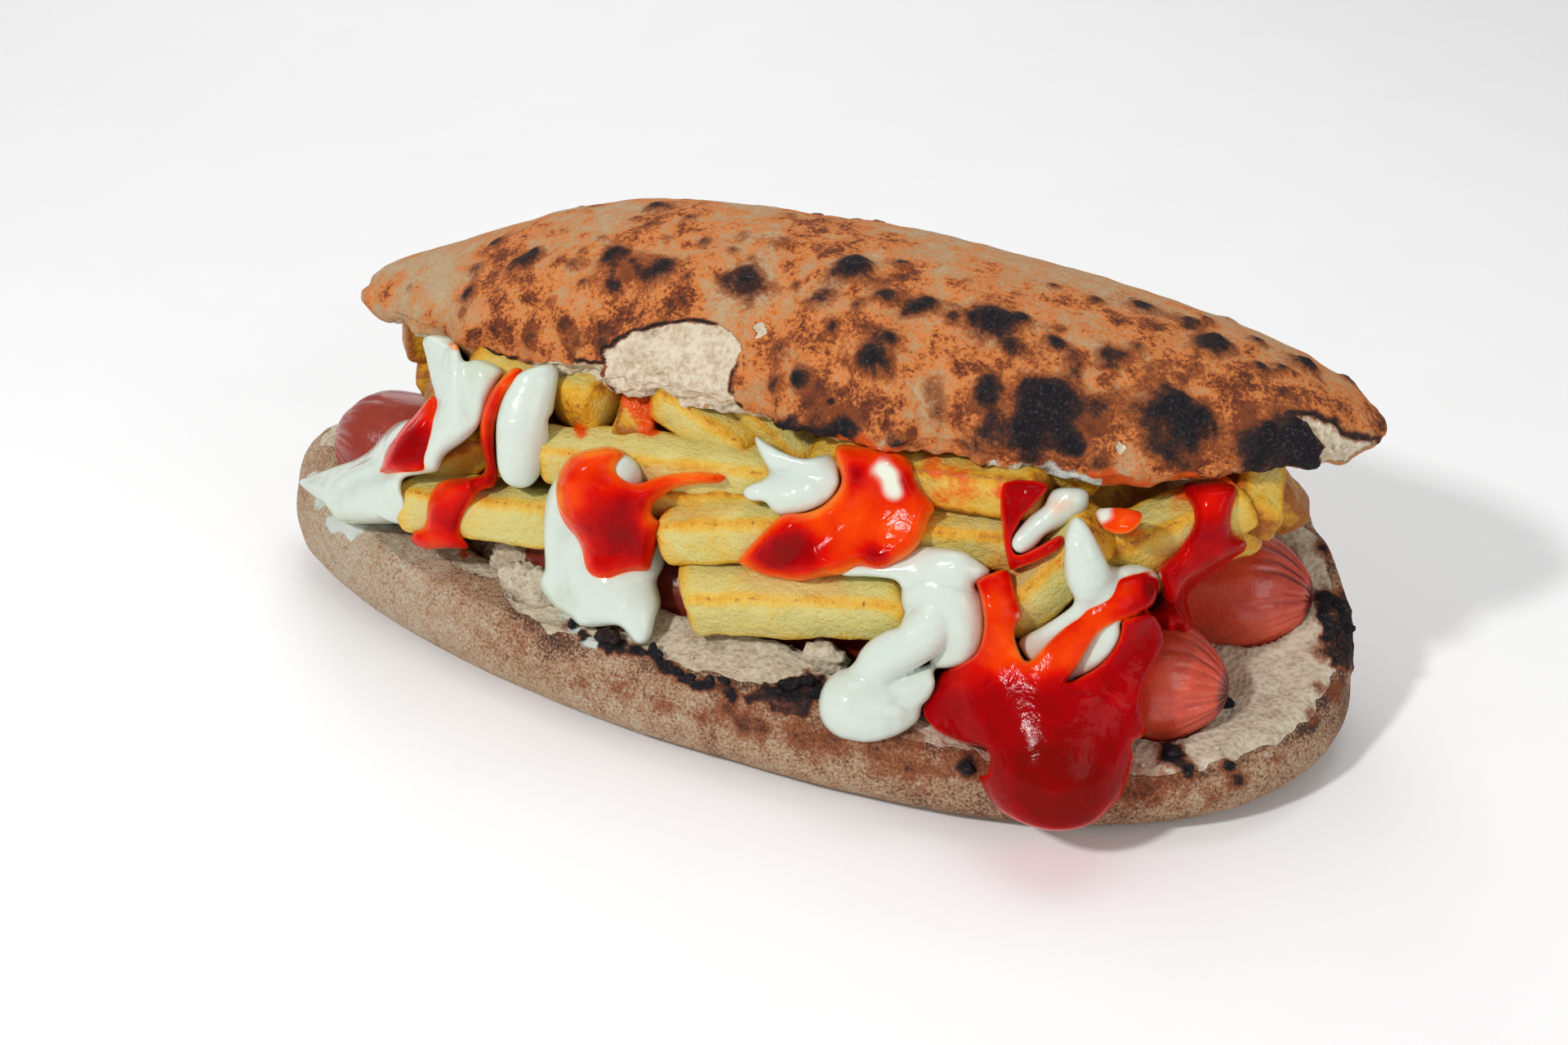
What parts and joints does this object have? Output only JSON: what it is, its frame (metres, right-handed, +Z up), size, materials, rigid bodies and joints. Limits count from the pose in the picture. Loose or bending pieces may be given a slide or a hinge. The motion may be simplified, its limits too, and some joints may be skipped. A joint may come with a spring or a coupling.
{
  "type": "panuozzo",
  "caption": "Filled baked-dough roll: two crust halves round frankfurters and a heap of fries, with mayonnaise and ketchup run over its open side.",
  "frame": {"origin": "middle of the roll's footprint on the surface that it rests on", "axes": "+X along the roll towards its blunt right end, -Y out of the open side, +Z up"},
  "size_m": [0.2528, 0.1181, 0.101],
  "materials": {
    "crust": "matte",
    "pale_crust": "matte",
    "frankfurter_skin": "satin",
    "fried_potato": "satin",
    "mayonnaise": "gloss",
    "ketchup": "gloss"
  },
  "bodies": {
    "root": {"bread_bottom": "pale_crust", "bread_top": "crust", "sausage_rear": "frankfurter_skin", "sausage_front": "frankfurter_skin", "fries": "fried_potato", "mayo_left_end": "mayonnaise", "mayo_drip": "mayonnaise", "mayo_drape": "mayonnaise", "mayo_swirl": "mayonnaise", "mayo_patch": "mayonnaise", "mayo_squiggle": "mayonnaise", "mayo_peak": "mayonnaise", "mayo_hook": "mayonnaise", "ketchup_left_stripe": "ketchup", "ketchup_left_spill": "ketchup", "ketchup_heart": "ketchup", "ketchup_centre": "ketchup", "ketchup_pool": "ketchup", "ketchup_right_run": "ketchup", "ketchup_dab": "ketchup", "ketchup_inner": "ketchup"}
  },
  "joints": []
}
